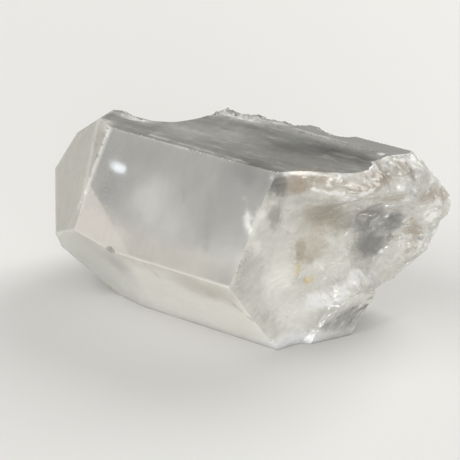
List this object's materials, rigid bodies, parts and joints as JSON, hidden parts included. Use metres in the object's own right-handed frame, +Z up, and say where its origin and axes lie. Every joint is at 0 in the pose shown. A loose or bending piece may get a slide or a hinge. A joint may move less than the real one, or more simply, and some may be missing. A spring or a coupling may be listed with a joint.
{
  "type": "quartz point",
  "caption": "Milky quartz crystal point lying on a prism face, with a blunt faceted tip at one end and a rough broken base at the other.",
  "frame": {"origin": "centre of the bounding box in plan, on the surface that the crystal lies on", "axes": "+Z up from the face it lies on, +X along the crystal's long axis from the tip to the broken base, -Y towards the front"},
  "size_m": [0.0368, 0.0208, 0.0171],
  "materials": {
    "milky_quartz": "translucent milky white to clear grey, glassy on the crystal faces and rough on the broken base"
  },
  "bodies": {
    "root": {"quartz_point": "milky_quartz"}
  },
  "joints": []
}
